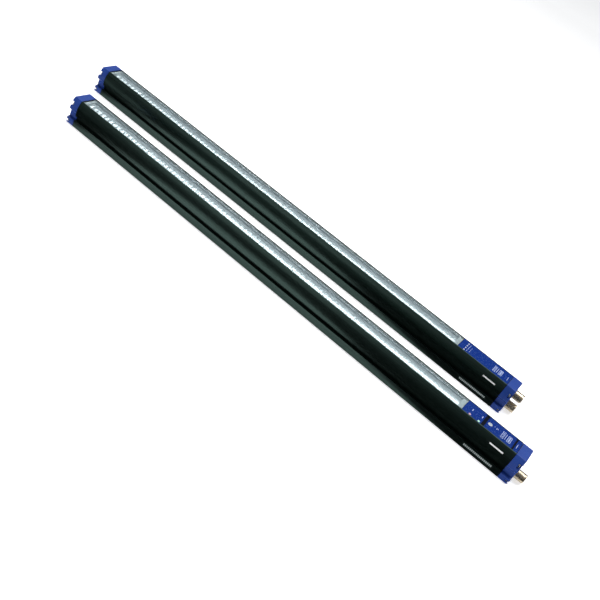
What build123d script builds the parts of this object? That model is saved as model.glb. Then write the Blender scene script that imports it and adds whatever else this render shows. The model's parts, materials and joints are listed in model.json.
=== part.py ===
from build123d import *
import math
import os

# A safety light curtain: an emitter bar and a receiver bar, both lying on their flat backs.
# Sizes are in millimetres. Each bar is drawn in its own frame: X runs from the far end to the
# sockets, Y runs across from the middle plane, and Z rises from the back to the optical face.

# The pair
BAR_SPACING = 98.2
STAGGER = 52.3

# Optics
LENS_PITCH = 7.0
LENSES_PER_MODULE = 21
MODULES = 4
FIELD_MARGIN = 6.0
MODULE_GAP = 0.2
LENS_RADIUS = 20.0
LENS_SIDE_GAP = 0.4
LENS_BASE = 1.6
LENS_RISE = 3.0
LENS_RAIL = 1.0
BORE_BOTTOM_RADIUS = 1.9
BORE_TOP_RADIUS = 3.2
DIODE_SIDE = 2.4
DIODE_BASE = 0.8
DIODE_DOME = 0.9

# Lengths along the bar
FAR_CAP_LENGTH = 12.0
NEAR_CAP_LENGTH = 12.5
GASKET = 0.6

# Section of the aluminium profile
WIDTH = 35.0
DEPTH = 36.0
SHOULDER_STEP = 5.1
SHOULDER_Z = 20.0
BACK_RADIUS = 1.0
LIP_RADIUS = 0.45
LIP_WALL = 1.1
BACK_WALL = 3.0
LEDGE_WIDTH = 1.4
LEDGE_DEPTH = 2.6
BOARD_SLOT_DEPTH = 1.2
LOW_BOARD_Z = 12.0
HIGH_BOARD_DROP = 7.8

# Side slots for sliding brackets
SLOT_DEPTH = 3.9
SLOT_LIP = 1.6
SLOT_MOUTH_LOW = 10.0
SLOT_MOUTH_HIGH = 15.6
SLOT_LOW = 8.8
SLOT_HIGH = 16.6
CAP_GROOVE_LOW = 8.0

# Window and boards
TAPE = 0.3
WINDOW_THICKNESS = 2.0
BOARD_THICKNESS = 1.6
BOARD_TAIL = 5.6
BOARD_CLEARANCE = 0.1
SIDE_CLEARANCE = 0.1
PLATE_CLEARANCE = 0.2

# End caps and their screws
END_WALL = 5.0
END_CHAMFER = 1.8
CAP_ROUNDING = 0.6
HIGH_SCREW_IN = 4.1
HIGH_SCREW_DROP = 8.5
LOW_SCREW_IN = 2.9
LOW_SCREW_RISE = 3.9
POCKET_RADIUS = 3.1
POCKET_DEPTH = 4.2
SCREW_HEAD_RADIUS = 2.7
SCREW_HEAD_HEIGHT = 1.9
SCREW_RADIUS = 1.3
SCREW_BITE = 8.0
SCREW_CLEARANCE = 0.05
SCREW_PASSAGE = 0.3
CROWN_RADIUS = 0.6
DRIVE_WIDTH = 0.6
DRIVE_HALF = 1.6
DRIVE_DEPTH = 1.0
GASKET_INSET = 0.4

# Display end
TRAY_THICKNESS = 1.0
PLATE_THICKNESS = 1.4
PLATE_ROUNDING = 0.2
STATUS_PLATE_LENGTH = 24.8
FIRST_SLOT = 4.0
COVER_LENGTH = 35.8
SECOND_SLOT = 2.2
END_PLATE_LENGTH = 5.4
COVER_SEAL = 0.5
COVER_RISE = 0.1
COVER_SCREW_INSET = 4.4
COVER_SCREW_RADIUS = 2.75
COVER_SCREW_HEAD = 0.6
COVER_SCREW_WELL = 0.35
COVER_SCREW_WELL_RADIUS = 1.35
COVER_SCREW_SHANK = 1.2
BOSS_RADIUS = 3.0
BOSS_HEIGHT = 4.6
HATCH_START = 9.4
HATCH_END = 3.4
HATCH_SIDE = 2.5
SEAL_WALL = 1.6
PIPE_STEM_RADIUS = 0.6
PIPE_PROUD = 0.1
PIPE_GAP = 0.2
STATUS_DIODE = (1.6, 1.2, 0.8)
PIPE_INSET = 2.0
EMITTER_PIPE_PLACES = (9.8, 21.6)
EMITTER_PIPE_RADIUS = 1.4
RECEIVER_PIPE_PLACE = 8.4
RECEIVER_PIPE_COUNT = 4
RECEIVER_PIPE_MARGIN = 4.2
RECEIVER_PIPE_RADIUS = 0.9
MAIN_CHIP = (15.7, 0.0, 10.0, 10.0, 1.6)
DRIVER_CHIP = (33.0, 2.6, 7.0, 7.0, 1.2)
END_CHIP_SIZE = (6.0, 6.0, 2.0)
END_CHIP_INSET = 9.8
END_CHIP_SIDE = 0.7
HEADER_INSET = 14.2
HEADER_SIZE = (12.5, 5.0, 2.5)
HEADER_PIN_SIDE = 0.64
HEADER_PIN_PITCH = 2.54
HEADER_PIN_RISE = 3.0
JUMPER_SIZE = (2.4, 4.9, 3.4)
RISER_LENGTH = 3.6
RISER_SIDE = 2.9
RISER_INSET = 1.2
LINK_LENGTH = 9.0
LINK_WIDTH = 12.0
LINK_HEIGHT = 3.0
PLUG_LENGTH = 5.0
PLUG_WIDTH = 12.0
PLUG_HEIGHT = 2.5

# Sockets with a 12 mm thread
SOCKET_LOW_Z = 7.9
SOCKET_SPACING = 16.7
SOCKET_REACH = 11.8
SOCKET_RADIUS = 6.0
SOCKET_NECK_RADIUS = 5.7
SOCKET_BORE = 4.3
SOCKET_FLANGE_RADIUS = 7.15
SOCKET_FLANGE = 2.0
SOCKET_SEAL = 0.5
SOCKET_MOUTH_CHAMFER = 0.5
SOCKET_CLEARANCE = 0.05
KEY_WIDTH = 1.2
KEY_HEIGHT = 0.6
INSERT_FRONT = 3.0
INSERT_BACK = 7.0
PIN_RADIUS = 0.5
PIN_CLEARANCE = 0.03
PIN_FRONT = 10.4
PIN_TIP = 0.2
FIVE_PIN_CIRCLE = 2.5
EIGHT_PIN_CIRCLE = 2.75
SOCKET_BOARD_X = 9.6
SOCKET_BOARD_SIDE = 1.3
SOCKET_BOARD_FOOT = 0.4
SOCKET_BOARD_DROP = 2.0

# Cuts that leave through a face run past it by this much
OVERCUT = 1.0

# Places that follow from the sizes above
MODULE_LENGTH = LENS_PITCH * LENSES_PER_MODULE
FIELD_START = FAR_CAP_LENGTH + FIELD_MARGIN
FIELD_END = FIELD_START + MODULE_LENGTH * MODULES
DISPLAY_START = FIELD_END + FIELD_MARGIN
COVER_START = STATUS_PLATE_LENGTH + FIRST_SLOT
END_PLATE_START = COVER_START + COVER_LENGTH + SECOND_SLOT
DISPLAY_LENGTH = END_PLATE_START + END_PLATE_LENGTH + GASKET
NEAR_CAP_START = DISPLAY_START + DISPLAY_LENGTH
BODY_LENGTH = NEAR_CAP_START + NEAR_CAP_LENGTH
PROFILE_START = FAR_CAP_LENGTH + GASKET
PROFILE_END = NEAR_CAP_START - GASKET
LEDGE_Z = DEPTH - LEDGE_DEPTH
FACE_HALF = WIDTH / 2 - SHOULDER_STEP
RECESS_HALF = FACE_HALF - LIP_WALL
CAVITY_HALF = RECESS_HALF - LEDGE_WIDTH
SLOT_FLOOR_HALF = WIDTH / 2 - SLOT_DEPTH
HIGH_BOARD_Z = LEDGE_Z - HIGH_BOARD_DROP
HIGH_SCREW = (WIDTH / 2 - HIGH_SCREW_IN, DEPTH - HIGH_SCREW_DROP)
LOW_SCREW = (WIDTH / 2 - LOW_SCREW_IN, LOW_SCREW_RISE)
SOCKET_HIGH_Z = SOCKET_LOW_Z + SOCKET_SPACING
SLOT_HALF = CAVITY_HALF + BOARD_SLOT_DEPTH
PLATE_HALF = RECESS_HALF - SIDE_CLEARANCE
BOARD_HALF = SLOT_HALF - SIDE_CLEARANCE
BOARD_SLOT = BOARD_THICKNESS + 2 * BOARD_CLEARANCE
LOW_BOARD_TOP = LOW_BOARD_Z + BOARD_CLEARANCE + BOARD_THICKNESS
HIGH_BOARD_BOTTOM = HIGH_BOARD_Z + BOARD_CLEARANCE
HIGH_BOARD_TOP = HIGH_BOARD_BOTTOM + BOARD_THICKNESS
LENS_TOP = LEDGE_Z - BOARD_CLEARANCE
LENS_BOTTOM = LENS_TOP - LENS_RISE - LENS_BASE
LENS_HALF = CAVITY_HALF - LENS_SIDE_GAP
CARRIER_HALF = CAVITY_HALF - SIDE_CLEARANCE
TRAY_TOP = LEDGE_Z + TRAY_THICKNESS
PLATE_TOP = TRAY_TOP + PLATE_THICKNESS
COVER_TOP = PLATE_TOP + COVER_RISE
COVER_BOTTOM = TRAY_TOP + COVER_SEAL
PIPE_TOP = PLATE_TOP + PIPE_PROUD
PIPE_LINE = -(PLATE_HALF - PIPE_INSET)
RECEIVER_PIPE_PITCH = (PLATE_HALF - RECEIVER_PIPE_MARGIN - PIPE_LINE) / (RECEIVER_PIPE_COUNT - 1)
EMITTER_PIPES = [(along, PIPE_LINE) for along in EMITTER_PIPE_PLACES]
RECEIVER_PIPES = [(RECEIVER_PIPE_PLACE, PIPE_LINE + RECEIVER_PIPE_PITCH * step)
                  for step in range(RECEIVER_PIPE_COUNT)]
END_CHIP_PLACE = (DISPLAY_LENGTH - END_CHIP_INSET, -(CAVITY_HALF - END_CHIP_SIDE - END_CHIP_SIZE[1] / 2))
CHIPS = [MAIN_CHIP, DRIVER_CHIP, END_CHIP_PLACE + END_CHIP_SIZE]
CONTROL_START = FIELD_END + BOARD_TAIL - RISER_LENGTH - RISER_INSET
CONTROL_END = PROFILE_END - SIDE_CLEARANCE
SOCKET_BOARD_BACK = BODY_LENGTH - SOCKET_BOARD_X
EMITTER_X = -(BODY_LENGTH + SOCKET_REACH - STAGGER) / 2
FROM_CORNER = (Align.MIN, Align.MIN, Align.MIN)


def block(x0, x1, y0, y1, z0, z1):
    """Box between two corners."""
    return Pos(x0, y0, z0) * Box(x1 - x0, y1 - y0, z1 - z0, align=FROM_CORNER)


def rod_x(x0, x1, y, z, radius):
    """Round bar along X."""
    bar = Cylinder(radius, x1 - x0, align=(Align.CENTER, Align.CENTER, Align.MIN))
    return Pos(x0, y, z) * Rot(0, 90, 0) * bar


def rod_z(x, y, z0, z1, radius):
    """Round bar along Z."""
    return Pos(x, y, z0) * Cylinder(radius, z1 - z0, align=(Align.CENTER, Align.CENTER, Align.MIN))


def area(y0, y1, z0, z1):
    """Rectangle in the section plane."""
    return Pos((y0 + y1) / 2, (z0 + z1) / 2) * Rectangle(y1 - y0, z1 - z0)


def prism(section, x0, x1):
    """Section carried along the bar."""
    return Pos(x0, 0, 0) * extrude(Plane.YZ * section, amount=x1 - x0)


def outline():
    """Outer outline of a bar: flat back, upright sides, convex shoulders, flat face."""
    half = WIDTH / 2
    with BuildSketch() as sketch:
        with BuildLine():
            Line((0, 0), (half - BACK_RADIUS, 0))
            TangentArc((half - BACK_RADIUS, 0), (half, BACK_RADIUS), tangent=(1, 0))
            Line((half, BACK_RADIUS), (half, SHOULDER_Z))
            TangentArc((half, SHOULDER_Z), (FACE_HALF, DEPTH), tangent=(0, 1))
            Line((FACE_HALF, DEPTH), (0, DEPTH))
            mirror(about=Plane.YZ)
        make_face()
        face_corners = [v for v in sketch.vertices().group_by(Axis.Y)[-1] if abs(v.X) > LIP_WALL]
        fillet(face_corners, LIP_RADIUS)
    return sketch.sketch


def screw_places():
    """Middle of each of the four cap screws, across and up."""
    return [(side * y, z) for y, z in (HIGH_SCREW, LOW_SCREW) for side in (-1, 1)]


def profile_section():
    """Section of the extrusion with its cavity, window seat, board slots and side slots."""
    section = outline()
    section -= area(-CAVITY_HALF, CAVITY_HALF, BACK_WALL, DEPTH + OVERCUT)
    section -= area(-RECESS_HALF, RECESS_HALF, LEDGE_Z, DEPTH + OVERCUT)
    for board_z in (LOW_BOARD_Z, HIGH_BOARD_Z):
        section -= area(-SLOT_HALF, SLOT_HALF, board_z, board_z + BOARD_SLOT)
    for side in (-1, 1):
        inner = sorted((side * SLOT_FLOOR_HALF, side * (WIDTH / 2 - SLOT_LIP)))
        mouth = sorted((side * SLOT_FLOOR_HALF, side * (WIDTH / 2 + OVERCUT)))
        section -= area(*inner, SLOT_LOW, SLOT_HIGH)
        section -= area(*mouth, SLOT_MOUTH_LOW, SLOT_MOUTH_HIGH)
    for y, z in screw_places():
        section -= Pos(y, z) * Circle(SCREW_RADIUS + SCREW_CLEARANCE)
    return section


def cap_section():
    """Section of a cap: the bar's outline with an open groove that leads into each side slot."""
    section = outline()
    reach = WIDTH / 2 + OVERCUT
    upper_slope = (SHOULDER_Z - SLOT_HIGH) / (WIDTH / 2 - SLOT_FLOOR_HALF)
    lower_slope = (SLOT_LOW - CAP_GROOVE_LOW) / (WIDTH / 2 - SLOT_FLOOR_HALF)
    for side in (-1, 1):
        corners = [
            (side * SLOT_FLOOR_HALF, SLOT_LOW),
            (side * reach, CAP_GROOVE_LOW - lower_slope * OVERCUT),
            (side * reach, SHOULDER_Z + upper_slope * OVERCUT),
            (side * SLOT_FLOOR_HALF, SLOT_HIGH),
        ]
        section -= make_face(Polyline(*corners, close=True).edges())
    return section


def housing():
    """Extruded profile, cut square at both ends."""
    return prism(profile_section(), PROFILE_START, PROFILE_END)


def screw_pockets(outer_x, inward):
    """Head pockets at a cap's outer face; the upper two are open through the shoulder."""
    ends = sorted((outer_x + inward * POCKET_DEPTH, outer_x - inward * OVERCUT))
    cuts = []
    for y, z in screw_places():
        cuts.append(rod_x(*ends, y, z, POCKET_RADIUS))
        if z == HIGH_SCREW[1]:
            sides = sorted((y, math.copysign(WIDTH / 2 + OVERCUT, y)))
            cuts.append(block(*ends, *sides, z - POCKET_RADIUS, z + POCKET_RADIUS))
    return cuts


def end_cap(outer_x, length, inward):
    """Moulded cap: rounded end, hollow towards the profile, with four screw pockets."""
    open_x = outer_x + inward * length
    ends = sorted((outer_x, open_x))
    cap = prism(cap_section(), *ends)
    side = END_CHAMFER * math.sqrt(2)
    cap -= Pos(outer_x, 0, 0) * Rot(0, 45, 0) * Box(side, WIDTH + 2 * OVERCUT, side)
    outer_face = cap.faces().sort_by(Axis.X)[0 if inward > 0 else -1]
    cap = fillet(outer_face.edges(), CAP_ROUNDING)
    hollow = sorted((outer_x + inward * END_WALL, open_x + inward * OVERCUT))
    cap -= block(*hollow, -CAVITY_HALF, CAVITY_HALF, BACK_WALL, LEDGE_Z)
    for cut in screw_pockets(outer_x, inward):
        cap -= cut
    through = sorted((outer_x, open_x + inward * OVERCUT))
    for y, z in screw_places():
        cap -= rod_x(*through, y, z, SCREW_RADIUS + SCREW_PASSAGE)
    return cap


def near_cap(sockets):
    """Cap at the socket end, with a stepped hole for each socket."""
    cap = end_cap(BODY_LENGTH, NEAR_CAP_LENGTH, -1)
    step_x = BODY_LENGTH - END_WALL + SOCKET_FLANGE + SOCKET_SEAL
    for z, _ in sockets:
        cap -= rod_x(step_x - OVERCUT, BODY_LENGTH + OVERCUT, 0, z, SOCKET_NECK_RADIUS + SOCKET_CLEARANCE)
        cap -= rod_x(BODY_LENGTH - END_WALL - OVERCUT, step_x, 0, z, SOCKET_FLANGE_RADIUS + SOCKET_CLEARANCE)
    return cap


def gasket(x0):
    """Flat seal between a cap and the profile, a little inside the outline."""
    section = offset(cap_section(), amount=-GASKET_INSET)
    section -= area(-CAVITY_HALF, CAVITY_HALF, BACK_WALL, LEDGE_Z)
    for y, z in screw_places():
        section -= Pos(y, z) * Circle(SCREW_RADIUS + SCREW_PASSAGE)
    return prism(section, x0, x0 + GASKET)


def cap_screw(outer_x, length, inward, y, z):
    """Pan-head screw with a cross drive, from the pocket into the profile's screw channel."""
    seat_x = outer_x + inward * POCKET_DEPTH
    head_x = seat_x - inward * SCREW_HEAD_HEIGHT
    tip_x = outer_x + inward * (length + GASKET + SCREW_BITE)
    head = rod_x(*sorted((head_x, seat_x)), y, z, SCREW_HEAD_RADIUS)
    crown = head.faces().sort_by(Axis.X)[0 if inward > 0 else -1]
    head = fillet(crown.edges(), CROWN_RADIUS)
    drive = sorted((head_x - inward * OVERCUT, head_x + inward * DRIVE_DEPTH))
    half = DRIVE_WIDTH / 2
    head -= block(*drive, y - DRIVE_HALF, y + DRIVE_HALF, z - half, z + half)
    head -= block(*drive, y - half, y + half, z - DRIVE_HALF, z + DRIVE_HALF)
    return head + rod_x(*sorted((seat_x, tip_x)), y, z, SCREW_RADIUS)


def cap_screws():
    """Four screws at each end."""
    screws = []
    for y, z in screw_places():
        screws.append(cap_screw(0, FAR_CAP_LENGTH, 1, y, z))
        screws.append(cap_screw(BODY_LENGTH, NEAR_CAP_LENGTH, -1, y, z))
    return screws


def window():
    """Clear front window, from the far cap to the display end."""
    z0 = LEDGE_Z + TAPE
    pane = block(PROFILE_START, DISPLAY_START, -PLATE_HALF, PLATE_HALF, z0, z0 + WINDOW_THICKNESS)
    return chamfer(pane.edges().group_by(Axis.Z)[-1], PLATE_ROUNDING)


def window_tapes():
    """Bonding tape on each ledge, under the window's long edges."""
    strips = []
    for side in (-1, 1):
        ledge = sorted((side * CAVITY_HALF, side * PLATE_HALF))
        strips.append(block(PROFILE_START, DISPLAY_START, *ledge, LEDGE_Z, LEDGE_Z + TAPE))
    return strips


def module_starts():
    """Start of each optical module along the bar."""
    return [FIELD_START + MODULE_LENGTH * number for number in range(MODULES)]


def lens_strip():
    """One moulded strip of plano-convex lenses, each cut to an oblong, between two raised rails."""
    ball = Sphere(LENS_RADIUS)
    half = LENS_HALF
    start = MODULE_GAP / 2
    end = MODULE_LENGTH - MODULE_GAP / 2
    strip = block(start, end, -half, half, LENS_BOTTOM, LENS_BOTTOM + LENS_BASE)
    for side in (-1, 1):
        rail = sorted((side * half, side * (half - LENS_RAIL)))
        strip += block(start, end, *rail, LENS_BOTTOM, LENS_TOP)
    for number in range(LENSES_PER_MODULE):
        x0 = max(number * LENS_PITCH, start)
        x1 = min((number + 1) * LENS_PITCH, end)
        oblong = block(x0, x1, -half, half, LENS_BOTTOM, LENS_TOP)
        middle = (number + 0.5) * LENS_PITCH
        strip += oblong & (Pos(middle, 0, LENS_TOP - LENS_RADIUS) * ball)
    return strip


def optics_carrier(shelf_before, shelf_after):
    """Moulded carrier: a flared light tunnel under each lens, ribs in the upper slots, raised end shelves."""
    half = CARRIER_HALF
    x0 = MODULE_GAP / 2
    x1 = MODULE_LENGTH - MODULE_GAP / 2
    shelf_z = HIGH_BOARD_TOP + BOARD_CLEARANCE
    carrier = block(x0, x1, -half, half, LOW_BOARD_TOP, LENS_BOTTOM)
    carrier += block(x0, x1, -BOARD_HALF, BOARD_HALF, HIGH_BOARD_BOTTOM, HIGH_BOARD_TOP)
    carrier += block(x0 - shelf_before, x1 + shelf_after, -half, half, shelf_z, LENS_BOTTOM)
    if shelf_before:
        carrier += block(x0 - shelf_before, x0 - MODULE_GAP, -half, half, LENS_BOTTOM, LENS_TOP)
    if shelf_after:
        carrier += block(x1 + MODULE_GAP, x1 + shelf_after, -half, half, LENS_BOTTOM, LENS_TOP)
    height = LENS_BOTTOM - LOW_BOARD_TOP
    tunnel = Cone(BORE_BOTTOM_RADIUS, BORE_TOP_RADIUS, height, align=(Align.CENTER, Align.CENTER, Align.MIN))
    for number in range(LENSES_PER_MODULE):
        carrier -= Pos((number + 0.5) * LENS_PITCH, 0, LOW_BOARD_TOP) * tunnel
    return carrier


def optics_carriers():
    """One carrier for each module; the first and last cover the margins at the ends of the row."""
    carriers = []
    for x in module_starts():
        before = FIELD_MARGIN - GASKET - MODULE_GAP if x == FIELD_START else 0
        after = FIELD_MARGIN - MODULE_GAP if x == module_starts()[-1] else 0
        carriers.append(Pos(x, 0, 0) * optics_carrier(before, after))
    return carriers


def optics_board(is_last):
    """Circuit board of one module; the last one has a tail for the riser."""
    x1 = MODULE_LENGTH - MODULE_GAP / 2 + (BOARD_TAIL if is_last else 0)
    return block(MODULE_GAP / 2, x1, -BOARD_HALF, BOARD_HALF, LOW_BOARD_TOP - BOARD_THICKNESS, LOW_BOARD_TOP)


def diode():
    """Square package with a small dome."""
    half = DIODE_SIDE / 2
    package = block(-half, half, -half, half, 0, DIODE_BASE)
    dome = Pos(0, 0, DIODE_BASE) * Sphere(DIODE_DOME, arc_size1=0)
    return Pos(0, 0, LOW_BOARD_TOP) * (package + dome)


def diodes():
    """One diode in the middle of each light tunnel."""
    first = FIELD_START + LENS_PITCH / 2
    return [Pos(first + LENS_PITCH * number, 0, 0) * diode() for number in range(LENSES_PER_MODULE * MODULES)]


def board_links():
    """Bridges under the joints of the boards, the riser to the control board and its end plug."""
    z0 = LOW_BOARD_TOP - BOARD_THICKNESS
    half = LINK_WIDTH / 2
    links = [block(x - LINK_LENGTH / 2, x + LINK_LENGTH / 2, -half, half, z0 - LINK_HEIGHT, z0)
             for x in module_starts()[1:]]
    riser_end = FIELD_END + BOARD_TAIL - RISER_INSET
    half = CAVITY_HALF - RISER_SIDE
    links.append(block(riser_end - RISER_LENGTH, riser_end, -half, half, LOW_BOARD_TOP, HIGH_BOARD_BOTTOM))
    half = PLUG_WIDTH / 2
    links.append(block(SOCKET_BOARD_BACK - PLUG_LENGTH, SOCKET_BOARD_BACK, -half, half,
                       HIGH_BOARD_TOP, HIGH_BOARD_TOP + PLUG_HEIGHT))
    return links


def control_board():
    """Board under the display end, in the upper slots."""
    return block(CONTROL_START, CONTROL_END, -BOARD_HALF, BOARD_HALF, HIGH_BOARD_BOTTOM, HIGH_BOARD_TOP)


def control_chips():
    """Chip packages on top of the control board."""
    packages = []
    for along, across, length, width, height in CHIPS:
        x0 = DISPLAY_START + along - length / 2
        y0 = across - width / 2
        packages.append(block(x0, x0 + length, y0, y0 + width, HIGH_BOARD_TOP, HIGH_BOARD_TOP + height))
    return packages


def status_diodes(pipes):
    """Small diode under each light pipe."""
    length, width, height = STATUS_DIODE
    packages = []
    for along, across in pipes:
        x0 = DISPLAY_START + along - length / 2
        y0 = across - width / 2
        packages.append(block(x0, x0 + length, y0, y0 + width, HIGH_BOARD_TOP, HIGH_BOARD_TOP + height))
    return packages


def light_pipes(pipes, radius):
    """Clear pipes: a round head in the plate on a thin stem down to the diode."""
    foot = HIGH_BOARD_TOP + STATUS_DIODE[2] + PIPE_GAP
    pieces = []
    for along, across in pipes:
        x = DISPLAY_START + along
        head = rod_z(x, across, TRAY_TOP, PIPE_TOP, radius)
        pieces.append(head + rod_z(x, across, foot, TRAY_TOP, PIPE_STEM_RADIUS))
    return pieces


def display_tray(pipes, has_hatch):
    """Tray on the ledges of the display end; under a hatch it has an opening and a screw boss."""
    x0 = DISPLAY_START + PLATE_CLEARANCE
    tray = block(x0, PROFILE_END, -PLATE_HALF, PLATE_HALF, LEDGE_Z, TRAY_TOP)
    for along, across in pipes:
        tray -= rod_z(DISPLAY_START + along, across, LEDGE_Z - OVERCUT, TRAY_TOP + OVERCUT,
                      PIPE_STEM_RADIUS + SIDE_CLEARANCE)
    if has_hatch:
        cover_x = DISPLAY_START + COVER_START
        screw_x = cover_x + COVER_SCREW_INSET
        half = CAVITY_HALF - HATCH_SIDE
        tray -= block(cover_x + HATCH_START, cover_x + COVER_LENGTH - HATCH_END, -half, half,
                      LEDGE_Z - OVERCUT, TRAY_TOP + OVERCUT)
        tray += rod_z(screw_x, 0, LEDGE_Z - BOSS_HEIGHT, LEDGE_Z, BOSS_RADIUS)
        tray -= rod_z(screw_x, 0, LEDGE_Z - BOSS_HEIGHT - OVERCUT, TRAY_TOP + OVERCUT,
                      COVER_SCREW_SHANK + SCREW_CLEARANCE)
    return tray


def face_plate(start, end, pipes, radius):
    """Flat plate in the front recess, with a hole for each light pipe."""
    plate = block(DISPLAY_START + start, DISPLAY_START + end, -PLATE_HALF, PLATE_HALF, TRAY_TOP, PLATE_TOP)
    plate = fillet(plate.edges().group_by(Axis.Z)[-1], PLATE_ROUNDING)
    for along, across in pipes:
        plate -= rod_z(DISPLAY_START + along, across, TRAY_TOP - OVERCUT, PLATE_TOP + OVERCUT,
                       radius + SIDE_CLEARANCE)
    return plate


def cover_seal():
    """Flat seal around the hatch and the cover screw."""
    x0 = DISPLAY_START + COVER_START + PLATE_CLEARANCE
    x1 = DISPLAY_START + COVER_START + COVER_LENGTH - PLATE_CLEARANCE
    half = PLATE_HALF - PLATE_CLEARANCE
    screw_x = DISPLAY_START + COVER_START + COVER_SCREW_INSET
    seal = block(x0, x1, -half, half, TRAY_TOP, COVER_BOTTOM)
    seal -= block(DISPLAY_START + COVER_START + HATCH_START, x1 - SEAL_WALL, -half + SEAL_WALL,
                  half - SEAL_WALL, TRAY_TOP - OVERCUT, COVER_BOTTOM + OVERCUT)
    seal -= rod_z(screw_x, 0, TRAY_TOP - OVERCUT, COVER_BOTTOM + OVERCUT, COVER_SCREW_SHANK + SCREW_PASSAGE)
    return seal


def access_cover():
    """Removable cover with a counterbore for its captive screw."""
    x0 = DISPLAY_START + COVER_START
    screw_x = x0 + COVER_SCREW_INSET
    cover = block(x0, x0 + COVER_LENGTH, -PLATE_HALF, PLATE_HALF, COVER_BOTTOM, COVER_TOP)
    cover = fillet(cover.edges().group_by(Axis.Z)[-1], PLATE_ROUNDING)
    cover -= rod_z(screw_x, 0, COVER_TOP - COVER_SCREW_HEAD, COVER_TOP + OVERCUT,
                   COVER_SCREW_RADIUS + SIDE_CLEARANCE)
    cover -= rod_z(screw_x, 0, COVER_BOTTOM - OVERCUT, COVER_TOP, COVER_SCREW_SHANK + SCREW_PASSAGE)
    return cover


def cover_screw():
    """Captive screw: a flat ring head with a sunk middle, and a shank down into the boss."""
    x = DISPLAY_START + COVER_START + COVER_SCREW_INSET
    head_z = COVER_TOP - COVER_SCREW_HEAD
    screw = rod_z(x, 0, head_z, COVER_TOP, COVER_SCREW_RADIUS)
    screw = chamfer(screw.edges().group_by(Axis.Z)[-1], COVER_RISE)
    screw -= rod_z(x, 0, COVER_TOP - COVER_SCREW_WELL, COVER_TOP + OVERCUT, COVER_SCREW_WELL_RADIUS)
    return screw + rod_z(x, 0, LEDGE_Z - BOSS_HEIGHT + SIDE_CLEARANCE, head_z, COVER_SCREW_SHANK)


def setting_header():
    """Two-row pin header under the hatch: its base, its pins and two jumper plugs."""
    length, width, height = HEADER_SIZE
    x0 = DISPLAY_START + COVER_START + HEADER_INSET
    z1 = HIGH_BOARD_TOP + height
    pieces = [block(x0, x0 + length, -width / 2, width / 2, HIGH_BOARD_TOP, z1)]
    columns = int(length // HEADER_PIN_PITCH)
    margin = (length - (columns - 1) * HEADER_PIN_PITCH) / 2
    half = HEADER_PIN_SIDE / 2
    jumper_length, jumper_width, jumper_height = JUMPER_SIZE
    for column in range(columns):
        x = x0 + margin + column * HEADER_PIN_PITCH
        if column % 2 == 0:
            for row in (-1, 1):
                y = row * HEADER_PIN_PITCH / 2
                pieces[0] += block(x - half, x + half, y - half, y + half, z1, z1 + HEADER_PIN_RISE)
        else:
            pieces.append(block(x - jumper_length / 2, x + jumper_length / 2, -jumper_width / 2,
                                jumper_width / 2, z1, z1 + jumper_height))
    return pieces


def socket_shell(z):
    """Threaded barrel, a neck through the end wall, a flange behind it and a key rib in the bore."""
    back_x = BODY_LENGTH - END_WALL
    front_x = BODY_LENGTH + SOCKET_REACH
    shell = rod_x(BODY_LENGTH, front_x, 0, z, SOCKET_RADIUS)
    mouth = shell.faces().sort_by(Axis.X)[-1]
    shell = chamfer(mouth.edges(), SOCKET_MOUTH_CHAMFER)
    shell += rod_x(back_x, BODY_LENGTH, 0, z, SOCKET_NECK_RADIUS)
    shell += rod_x(back_x, back_x + SOCKET_FLANGE, 0, z, SOCKET_FLANGE_RADIUS)
    shell -= rod_x(back_x - OVERCUT, front_x + OVERCUT, 0, z, SOCKET_BORE)
    half = KEY_WIDTH / 2
    rib_bottom = z + SOCKET_BORE - KEY_HEIGHT
    rib_top = z + (SOCKET_BORE + SOCKET_RADIUS) / 2
    rib = block(BODY_LENGTH + INSERT_FRONT, front_x - OVERCUT, -half, half, rib_bottom, rib_top)
    return shell + rib


def socket_seal(z):
    """Flat ring between the flange and the end wall."""
    x0 = BODY_LENGTH - END_WALL + SOCKET_FLANGE
    ring = rod_x(x0, x0 + SOCKET_SEAL, 0, z, SOCKET_FLANGE_RADIUS)
    return ring - rod_x(x0 - OVERCUT, x0 + SOCKET_SEAL + OVERCUT, 0, z, SOCKET_NECK_RADIUS + SOCKET_CLEARANCE)


def pin_places(z, pin_count):
    """Middle of each contact: one in the centre, the others on a circle."""
    circle = FIVE_PIN_CIRCLE if pin_count == 5 else EIGHT_PIN_CIRCLE
    ring = pin_count - 1
    turn = 2 * math.pi / ring
    places = [(0, z)]
    for number in range(ring):
        angle = turn * (number + 0.5) + math.pi / 2
        places.append((circle * math.cos(angle), z + circle * math.sin(angle)))
    return places


def socket_insert(z, pin_count):
    """Contact carrier in the bore, with a hole for each contact."""
    x0 = BODY_LENGTH - INSERT_BACK
    x1 = BODY_LENGTH + INSERT_FRONT
    insert = rod_x(x0, x1, 0, z, SOCKET_BORE - SOCKET_CLEARANCE)
    for y, pin_z in pin_places(z, pin_count):
        insert -= rod_x(x0 - OVERCUT, x1 + OVERCUT, y, pin_z, PIN_RADIUS + PIN_CLEARANCE)
    return insert


def socket_pins(sockets):
    """Round contacts with chamfered tips, soldered into the socket board."""
    x0 = SOCKET_BOARD_BACK
    x1 = BODY_LENGTH + PIN_FRONT
    pins = []
    for z, pin_count in sockets:
        for y, pin_z in pin_places(z, pin_count):
            pin = rod_x(x0, x1, y, pin_z, PIN_RADIUS)
            pins.append(chamfer(pin.faces().sort_by(Axis.X)[-1].edges(), PIN_TIP))
    return pins


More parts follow.
